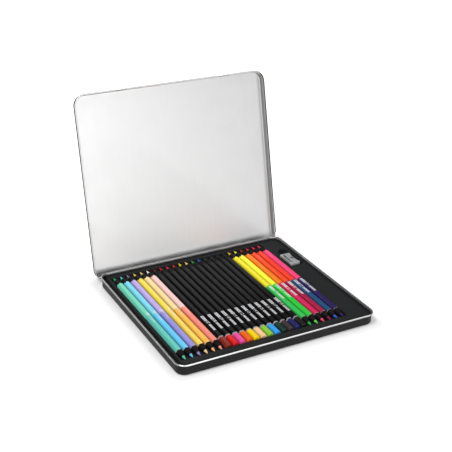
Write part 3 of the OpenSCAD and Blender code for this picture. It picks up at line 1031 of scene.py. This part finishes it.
    def double(self) -> bpy.types.GeometryNodeTree:
        """Makes the tree of a pencil that is sharpened at both ends.

        Returns:
            The tree.
        """
        tree, given = start_tree("pencil_double", {
            "Float": self.size_names,
            "Material": (
                "Core A", "Core B", "Lacquer A", "Lacquer B", "Primer Coat", "Collar Coat", "Wood",
            ),
        })
        at, rear = self._shared(tree, given)
        painted = add_node(tree, MATH, {0: given["Collar"], 1: given["Primer"]}, operation="ADD")
        front = [
            (0.0, 0.0, 0.0),
            (at["tip"], 0.0, 0.0),
            (at["core"], 0.0, at["slope"]),
            (self.WIDE, 0.0, at["slope"]),
            (self.WIDE, given["Collar"], 0.0),
            (self.WIDE, painted, 0.0),
            (self.WIDE, given["Split"], 0.0),
        ]
        self._lay_bands(tree, given, front + rear, (
            "Core A", "Core A", "Wood", "Collar Coat", "Primer Coat", "Lacquer A", "Lacquer B", "Wood",
            "Wood", "Core B", "Core B",
        ))
        return tree

    def single(self) -> bpy.types.GeometryNodeTree:
        """Makes the tree of a pencil with a dipped, rounded front end.

        Returns:
            The tree.
        """
        tree, given = start_tree("pencil_single", {
            "Float": self.size_names,
            "Material": ("Core", "Dip", "Ring", "Lacquer", "Primer Coat", "Wood"),
        })
        at, rear = self._shared(tree, given)
        front: list[tuple[Any, Any, Any]] = [(0.0, 0.0, 0.0)]
        for turned in (math.radians(degrees) for degrees in self.DIP_DEGREES):
            limit = add_node(tree, MATH, {
                0: given["Dip Rounding"], 1: math.sin(turned) - 1, 2: at["corner"],
            }, operation="MULTIPLY_ADD")
            reach = add_node(tree, MATH, {
                0: given["Dip Rounding"], 1: 1 - math.cos(turned),
            }, operation="MULTIPLY")
            front.append((limit, reach, 0.0))
        front += [(self.WIDE, given["Ring From"], 0.0), (self.WIDE, given["Ring To"], 0.0)]
        self._lay_bands(tree, given, front + rear, (
            "Dip", "Dip", "Dip", "Dip", "Dip", "Ring", "Lacquer", "Primer Coat", "Wood", "Core", "Core",
        ), soft=len(self.DIP_DEGREES))
        return tree


class PencilSet:
    """The 24 pencils, each a piece of its own on a body of its own."""

    def __init__(self, sizes: PencilSizes) -> None:
        """Builds the two trees that the pencils share.

        Args:
            sizes: Sizes of the pencils.
        """
        self.sizes = sizes
        trees = PencilTrees(sizes)
        self.double_tree = trees.double()
        self.single_tree = trees.single()

    def _finishes(self, number: int, kind: PencilKind, colours: PencilColours) -> dict[str, Finish]:
        """Gives the finish for each material input of a pencil's tree.

        Args:
            number: Number of the pencil, from 1 at the left.
            kind: Its kind.
            colours: Its colours.

        Returns:
            The finishes by the name of the input.
        """
        coats = {
            side: PencilLacquer(f"pencil_lacquer_{number:02d}_{side}", colour, roughness=0.3, specular=0.22)
            for side, colour in (("front", colours.front), ("rear", colours.rear))
        }
        cores = {
            side: PigmentCore(f"wax_core_{number:02d}_{side}", colour, roughness=0.5, specular=0.2)
            for side, colour in (("front", colours.front_core), ("rear", colours.rear_core))
        }
        if kind is PencilKind.SINGLE:
            return {
                "Core": cores["rear"],
                "Dip": coats["front"],
                "Ring": RING_FOIL,
                "Lacquer": BLACK_LACQUER,
                "Primer Coat": BLACK_LACQUER,
                "Wood": DYED_BASSWOOD,
            }
        return {
            "Core A": cores["front"],
            "Core B": cores["rear"],
            "Lacquer A": coats["front"],
            "Lacquer B": coats["rear"],
            "Primer Coat": PRIMER,
            "Collar Coat": COLLAR_LACQUER,
            "Wood": DYED_BASSWOOD,
        }

    def build_pencil(self, number: int, kind: PencilKind, colours: PencilColours) -> bpy.types.Object:
        """Builds one pencil.

        Args:
            number: Number of the pencil, from 1 at the left.
            kind: Its kind.
            colours: Its colours.

        Returns:
            The piece.
        """
        body = f"pencil_{number:02d}"
        tree = self.single_tree if kind is PencilKind.SINGLE else self.double_tree
        finishes = self._finishes(number, kind, colours)
        materials = {socket: finish.build() for socket, finish in finishes.items()}
        mesh = run_tree(tree, {**self.sizes.tree_inputs(), **materials})
        mesh.transform(self.sizes.placed(number, self.sizes.front_y, self.sizes.axis_z))
        piece = to_piece(mesh, f"{body}_dressed", body)
        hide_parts(f"{body}_casing", f"{body}_core")
        return piece

    def build(self) -> None:
        """Builds all the pencils."""
        for number, (kind, colours) in enumerate(PENCILS, start=1):
            self.build_pencil(number, kind, colours)


@dataclass(frozen=True)
class FoilMark:
    """A plain stamped mark on a pencil's top facet: cross bars, the pencil's number and fine ticks."""

    start_y: float
    foil: Finish
    bars: int = 6
    bar_pitch: float = 1.75
    bar_width: float = 1.3
    bar_across: float = 1.35
    column_gap: float = 0.45
    digits: float = 3.3
    gap: float = 1.6
    ticks: int = 9
    tick_pitch: float = 1.35
    tick_width: float = 0.8
    tick_across: float = 2.6


MARKS = {
    PencilKind.PASTEL: FoilMark(
        start_y=6.0, foil=WHITE_FOIL, bars=5, bar_pitch=1.2, bar_width=0.8, bar_across=0.8,
        column_gap=0.3, digits=2.0, gap=1.2, tick_pitch=1.1, tick_width=0.45, tick_across=1.4,
    ),
    PencilKind.SINGLE: FoilMark(start_y=-25.0, foil=SILVER_FOIL),
    PencilKind.NEON: FoilMark(start_y=-1.5, foil=SILVER_FOIL),
}


class FoilStamps:
    """Stamps a plain mark on each pencil. Every mark is generic: bars, a two-digit number and ticks.

    The foil lies LIFT over the lacquer. NUMBER_WIDTH is the width of two digits as a share of their
    height, and DIGIT_SHARE their height as a share of the size of the type.
    """

    LIFT = 0.03
    NUMBER_WIDTH = 1.6
    DIGIT_SHARE = 0.7
    CURVE_STEPS = 4

    def __init__(self, sizes: PencilSizes) -> None:
        """Builds the tree of bars and ticks that all the marks share.

        Args:
            sizes: Sizes of the pencils.
        """
        self.sizes = sizes
        self.tree = self._bar_tree()

    def _bar_tree(self) -> bpy.types.GeometryNodeTree:
        """Makes the tree of the bars and the ticks, which run from the origin towards -y.

        Returns:
            The tree.
        """
        tree, given = start_tree("foil_bars", {
            "Int": ("Bars", "Ticks"),
            "Float": (
                "Bar Pitch", "Bar Width", "Bar Across", "Column Gap", "Tick Start", "Tick Pitch",
                "Tick Width", "Tick Across",
            ),
            "Material": ("Foil",),
        })
        joined = add_node(tree, "GeometryNodeJoinGeometry")
        column = add_node(tree, MATH, {0: given["Bar Across"], 1: given["Column Gap"]}, operation="ADD")
        right = add_node(tree, MATH, {0: column, 1: 0.5}, operation="MULTIPLY")
        left = add_node(tree, MATH, {0: column, 1: -0.5}, operation="MULTIPLY")
        for count, word, across, start in (
            ("Bars", "Bar", left, 0.0),
            ("Bars", "Bar", right, 0.0),
            ("Ticks", "Tick", 0.0, given["Tick Start"]),
        ):
            back = add_node(tree, MATH, {0: given[f"{word} Pitch"], 1: -1.0}, operation="MULTIPLY")
            first = add_node(tree, MATH, {0: start, 1: -1.0}, operation="MULTIPLY")
            step = add_node(tree, "ShaderNodeCombineXYZ", {1: back})
            shift = add_node(tree, "ShaderNodeCombineXYZ", {0: across, 1: first})
            places = add_node(tree, "GeometryNodeMeshLine", {
                "Count": given[count], "Start Location": shift, "Offset": step,
            })
            bar = add_node(tree, "GeometryNodeMeshGrid", {
                "Size X": given[f"{word} Across"], "Size Y": given[f"{word} Width"],
                "Vertices X": 2, "Vertices Y": 2,
            })
            stamped = add_node(tree, "GeometryNodeInstanceOnPoints", {"Points": places, "Instance": bar})
            feed(tree, joined, {0: stamped})
        real = add_node(tree, "GeometryNodeRealizeInstances", {"Geometry": joined})
        done = add_node(tree, "GeometryNodeSetMaterial", {"Geometry": real, "Material": given["Foil"]})
        add_node(tree, "NodeGroupOutput", {"Geometry": done})
        return tree

    def _number_mesh(self, text: str, height: float, foil: bpy.types.Material) -> bpy.types.Mesh:
        """Makes the digits flat, reading towards -y with their tops to +x, from the origin.

        Args:
            text: The digits.
            height: Height of a digit, in millimetres.
            foil: Material of the digits.

        Returns:
            The mesh.
        """
        curve = bpy.data.curves.new("number", "FONT")
        curve.body = text
        curve.size = height * MM / self.DIGIT_SHARE
        curve.align_x = "LEFT"
        curve.align_y = "CENTER"
        curve.resolution_u = self.CURVE_STEPS
        mesh = evaluated_mesh(add_object("number", curve))
        mesh.transform(Matrix.Rotation(math.radians(-90), 4, "Z"))
        mesh.materials.clear()
        mesh.materials.append(foil)
        return mesh

    def stamp(self, number: int, mark: FoilMark) -> bpy.types.Object:
        """Stamps one mark.

        Args:
            number: Number of the pencil, from 1 at the left.
            mark: Sizes, place and foil of the mark.

        Returns:
            The piece.
        """
        foil = mark.foil.build()
        block = (mark.bars - 1) * mark.bar_pitch
        lengths = {
            "Bar Pitch": mark.bar_pitch,
            "Bar Width": mark.bar_width,
            "Bar Across": mark.bar_across,
            "Column Gap": mark.column_gap,
            "Tick Start": block + 2 * mark.gap + self.NUMBER_WIDTH * mark.digits,
            "Tick Pitch": mark.tick_pitch,
            "Tick Width": mark.tick_width,
            "Tick Across": mark.tick_across,
        }
        mesh = run_tree(self.tree, {
            "Bars": mark.bars,
            "Ticks": mark.ticks,
            "Foil": foil,
            **{name: length * MM for name, length in lengths.items()},
        })
        digits = self._number_mesh(f"{number:02d}", mark.digits, foil)
        digits.transform(Matrix.Translation((0, -(block + mark.gap) * MM, 0)))
        work = bmesh.new()
        work.from_mesh(mesh)
        work.from_mesh(digits)
        work.to_mesh(mesh)
        work.free()
        top = self.sizes.axis_z + self.sizes.across_flats / 2 + self.LIFT
        mesh.transform(self.sizes.placed(number, mark.start_y, top))
        body = f"pencil_{number:02d}"
        return to_piece(mesh, f"{body}_marks", body)

    def build(self) -> None:
        """Stamps all the pencils."""
        for number, (kind, _) in enumerate(PENCILS, start=1):
            self.stamp(number, MARKS[kind])


@dataclass(frozen=True)
class DressedNode:
    """A CAD part that is carried over with its edges rounded, and its finish."""

    node: str
    body: str
    slot: str
    finish: Finish
    rounding: float = 0.0
    segments: int = 2

    def build(self) -> bpy.types.Object:
        """Builds the piece that stands for the part.

        Returns:
            The piece.
        """
        mesh = softened_copy(self.node, self.rounding, self.segments)
        mesh.materials.append(self.finish.build())
        piece = to_piece(mesh, f"{self.node}_dressed", self.body)
        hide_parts(self.node)
        return piece


@dataclass(frozen=True)
class TinBase:
    """The tin's lower pan with its hinge straps and pins."""

    strap_rounding: float = 0.12

    def build(self) -> None:
        """Builds the pan, the straps and the pins."""
        DressedNode("base_pan", "base", "black_lacquer", BASE_TINPLATE).build()
        for side in ("left", "right"):
            strap = f"base_hinge_leaf_{side}"
            DressedNode(strap, "base", "hinge_steel", HINGE_STEEL, self.strap_rounding).build()
        DressedNode("hinge_pins", "base", "hinge_steel", HINGE_STEEL).build()


@dataclass(frozen=True)
class TinLid:
    """The lid pan with its hinge straps."""

    strap_rounding: float = 0.12

    def build(self) -> None:
        """Builds the pan and the straps."""
        DressedNode("lid_pan", "lid", "bare_tinplate", LID_TINPLATE).build()
        for side in ("left", "right"):
            strap = f"lid_hinge_leaf_{side}"
            DressedNode(strap, "lid", "hinge_steel", HINGE_STEEL, self.strap_rounding).build()


@dataclass(frozen=True)
class PencilTray:
    """The formed tray with its grooves, pocket and finger recess."""

    rounding: float = 0.25

    def build(self) -> None:
        """Builds the tray."""
        DressedNode("pencil_tray", "base", "tray_plastic", TRAY_PLASTIC, self.rounding).build()


@dataclass(frozen=True)
class WedgeSharpener:
    """The metal wedge sharpener with its blade and screw."""

    body_rounding: float = 0.3
    blade_rounding: float = 0.06
    screw_rounding: float = 0.12

    def build(self) -> None:
        """Builds the body, the blade and the screw."""
        for node, slot, finish, rounding, segments in (
            ("sharpener_body", "sharpener_metal", SHARPENER_ALLOY, self.body_rounding, 3),
            ("sharpener_blade", "blade_steel", BLADE_STEEL, self.blade_rounding, 2),
            ("sharpener_screw", "screw_steel", SCREW_STEEL, self.screw_rounding, 2),
        ):
            DressedNode(node, "sharpener", slot, finish, rounding, segments).build()


@dataclass(frozen=True)
class PhotoCamera:
    """The photograph's camera, with angles in degrees and lengths in millimetres and in pixels."""

    azimuth: float = -28.987
    elevation: float = 25.749
    roll: float = 1.551
    distance: float = 1228.264
    target: tuple[float, float, float] = (81.261, 169.608, 0.0)
    focal_px: float = 1004.371
    centre_px: tuple[float, float] = (-1.118, -0.114)
    sensor: float = 36.0
    nearest: float = 50.0

    def build(self) -> bpy.types.Object:
        """Makes the camera and makes it the scene's own.

        Returns:
            The camera.
        """
        turn, lift, roll = (math.radians(a) for a in (self.azimuth, self.elevation, self.roll))
        back = Vector((math.sin(turn) * math.cos(lift), -math.cos(turn) * math.cos(lift), math.sin(lift)))
        right = Vector((math.cos(turn), math.sin(turn), 0))
        up = back.cross(right)
        across = right * math.cos(roll) + up * math.sin(roll)
        upright = up * math.cos(roll) - right * math.sin(roll)
        lens = bpy.data.cameras.new("photo_camera")
        lens.sensor_fit = "HORIZONTAL"
        lens.sensor_width = self.sensor
        lens.lens = self.focal_px / PHOTO_SIDE * self.sensor
        lens.shift_x = -self.centre_px[0] / PHOTO_SIDE
        lens.shift_y = self.centre_px[1] / PHOTO_SIDE
        lens.clip_start = self.nearest * MM
        camera = add_object("photo_camera", lens)
        turned = Matrix((across, upright, back)).transposed().to_4x4()
        camera.matrix_world = Matrix.Translation((Vector(self.target) + back * self.distance) * MM) @ turned
        bpy.context.scene.camera = camera
        return camera


@dataclass(frozen=True)
class SoftLamp:
    """A large square soft lamp: its place, aim and side in metres, and its power in watts."""

    name: str
    place: tuple[float, float, float]
    aim: tuple[float, float, float]
    side: float
    power: float

    def build(self) -> bpy.types.Object:
        """Makes the lamp.

        Returns:
            The lamp.
        """
        light = bpy.data.lights.new(self.name, "AREA")
        light.shape = "SQUARE"
        light.size = self.side
        light.energy = self.power
        lamp = add_object(self.name, light)
        away = Vector(self.place) - Vector(self.aim)
        turned = away.to_track_quat("Z", "Y").to_matrix().to_4x4()
        lamp.matrix_world = Matrix.Translation(self.place) @ turned
        return lamp


@dataclass(frozen=True)
class Glow:
    """A part of the studio's surround that is brighter than the rest, and fades away from its middle.

    starts and full are cosines of the angle from the middle, at which the glow begins and is whole.
    """

    side: tuple[float, float, float]
    starts: float
    full: float
    dim: float
    bright: float

    def level(self, tree: bpy.types.NodeTree, direction: bpy.types.NodeSocket) -> bpy.types.Node:
        """Gives the brightness in a direction.

        Args:
            tree: Node tree of the world.
            direction: Direction that a ray takes.

        Returns:
            The brightness.
        """
        turned = add_node(tree, VECTOR_MATH, {0: direction, 1: self.side}, operation="DOT_PRODUCT")
        return add_node(tree, MAP_RANGE, {
            0: turned, 1: self.starts, 2: self.full, 3: self.dim, 4: self.bright,
        }, interpolation_type="SMOOTHSTEP")


@dataclass(frozen=True)
class Studio:
    """A pale floor in a white surround, lit from above on the left and from nested soft boxes in front.

    The soft boxes share one middle, so together they are brightest there and have no hard edge in the
    tin's reflections. Their places and sides are in metres, and their power in watts per square metre.
    """

    window: SoftLamp = SoftLamp("window_softbox", (-0.88, -0.3, 1.85), (0, 0, 0.02), 0.65, 19.5)
    front_place: tuple[float, float, float] = (0.0, -0.95, 0.23)
    front_aim: tuple[float, float, float] = (0, 0, 0.08)
    front_sides: tuple[float, ...] = (0.17, 0.3, 0.43, 0.56)
    front_power: float = 6.0
    fill: Glow = Glow((-0.26, -0.82, 0.5), -0.5, 0.6, 0.38, 0.6)
    mirrored_front: Glow = Glow((-0.2, -0.93, 0.3), 0.45, 1.0, 0.12, 1.1)
    mirrored_top: Glow = Glow((0.4, -0.2, 0.89), 0.85, 1.0, 0.0, 2.5)
    floor_side: float = 9000.0
    floor_drop: float = 0.1
    floor_colour: str = "#e3e3e3"
    near_lift: float = 0.18
    far_lift: float = 0.75
    mirrored_lift: float = 0.08
    shadow_reach: float = 40.0

    def _ray_kinds(self, tree: bpy.types.NodeTree) -> tuple[bpy.types.NodeSocket, bpy.types.Node]:
        """Adds what tells the kinds of rays apart.

        Args:
            tree: Node tree of the floor or the world.

        Returns:
            An output that is 1 for camera rays, and a node that is 1 for glossy and transmission rays.
        """
        path = add_node(tree, "ShaderNodeLightPath").outputs
        sharp = add_node(tree, MATH, {
            0: path["Is Glossy Ray"], 1: path["Is Transmission Ray"],
        }, operation="MAXIMUM")
        return path["Is Camera Ray"], sharp

    def _paper(self) -> bpy.types.Material:
        """Makes the floor's paper: it keeps the tin's real shadow, adds painted shade near the tin, and is
        white far off.

        Returns:
            The material.
        """
        material = bpy.data.materials.new("studio_paper")
        tree = cleared_tree(material)
        place = add_node(tree, "ShaderNodeTexCoord").outputs["Object"]
        flat = add_node(tree, VECTOR_MATH, {0: place, 1: (1, 1, 0)}, operation="MULTIPLY")
        folded = add_node(tree, VECTOR_MATH, {0: flat}, operation="ABSOLUTE")
        half_tin = (BASE_SHAPE.width / 2 * MM, BASE_SHAPE.depth / 2 * MM, 0)
        past = add_node(tree, VECTOR_MATH, {0: folded, 1: half_tin}, operation="SUBTRACT")
        outside = add_node(tree, VECTOR_MATH, {0: past}, operation="MAXIMUM")
        away = add_node(tree, VECTOR_MATH, {0: outside}, operation="LENGTH")
        # Painted shade: the glow is weaker within shadow_reach of the tin, so the floor darkens round it.
        lift = add_node(tree, MAP_RANGE, {
            0: away, 2: self.shadow_reach * MM, 3: self.near_lift, 4: self.far_lift,
        }, interpolation_type="SMOOTHSTEP")
        camera, sharp = self._ray_kinds(tree)
        unseen = add_node(tree, MATH, {0: sharp, 1: self.mirrored_lift}, operation="MULTIPLY")
        strength = add_node(tree, MATH, {0: camera, 1: lift, 2: unseen}, operation="MULTIPLY_ADD")
        paper = add_node(tree, "ShaderNodeBsdfDiffuse", {"Color": linear(self.floor_colour)})
        glow = add_node(tree, "ShaderNodeEmission", {"Color": WHITE, "Strength": strength})
        both = add_node(tree, "ShaderNodeAddShader", {0: paper, 1: glow})
        add_node(tree, "ShaderNodeOutputMaterial", {"Surface": both})
        return material

    def build_floor(self) -> bpy.types.Object:
        """Makes the floor, a hair under the tin.

        Returns:
            The floor.
        """
        half = self.floor_side / 2 * MM
        drop = self.floor_drop * MM
        corners = ((-half, -half), (half, -half), (half, half), (-half, half))
        mesh = bpy.data.meshes.new("studio_floor")
        mesh.from_pydata([(x, y, -drop) for x, y in corners], [], [(0, 1, 2, 3)])
        mesh.materials.append(self._paper())
        floor = add_object("studio_floor", mesh)
        return floor

    def build_world(self) -> None:
        """Makes the world: white to the camera, and else brighter in front and to the left than behind."""
        world = bpy.data.worlds.new("studio_surround")
        tree = cleared_tree(world)
        direction = add_node(tree, "ShaderNodeTexCoord").outputs["Generated"]
        around, front, top = (
            glow.level(tree, direction) for glow in (self.fill, self.mirrored_front, self.mirrored_top)
        )
        mirrored = add_node(tree, MATH, {0: front, 1: top}, operation="MAXIMUM")
        camera, sharp = self._ray_kinds(tree)
        unseen = add_node(tree, MIX, {0: sharp, 2: around, 3: mirrored})
        level = add_node(tree, MIX, {0: camera, 2: unseen, 3: 1.0})
        surround = add_node(tree, "ShaderNodeBackground", {"Color": WHITE, "Strength": level})
        add_node(tree, "ShaderNodeOutputWorld", {"Surface": surround})
        bpy.context.scene.world = world

    def build(self) -> None:
        """Builds the floor, the world and the lamps."""
        self.build_floor()
        self.build_world()
        self.window.build()
        for number, side in enumerate(self.front_sides, start=1):
            power = self.front_power * side**2
            SoftLamp(f"front_softbox_{number}", self.front_place, self.front_aim, side, power).build()
        bpy.context.scene.view_settings.view_transform = "Standard"


def main() -> None:
    """Builds everything in order."""
    logging.basicConfig(level=logging.INFO, format="%(message)s")
    sizes = PencilSizes()
    TinBase().build()
    TinLid().build()
    PencilTray().build()
    WedgeSharpener().build()
    PencilSet(sizes).build()
    FoilStamps(sizes).build()
    Studio().build()
    PhotoCamera().build()


if __name__ == "__main__":
    main()
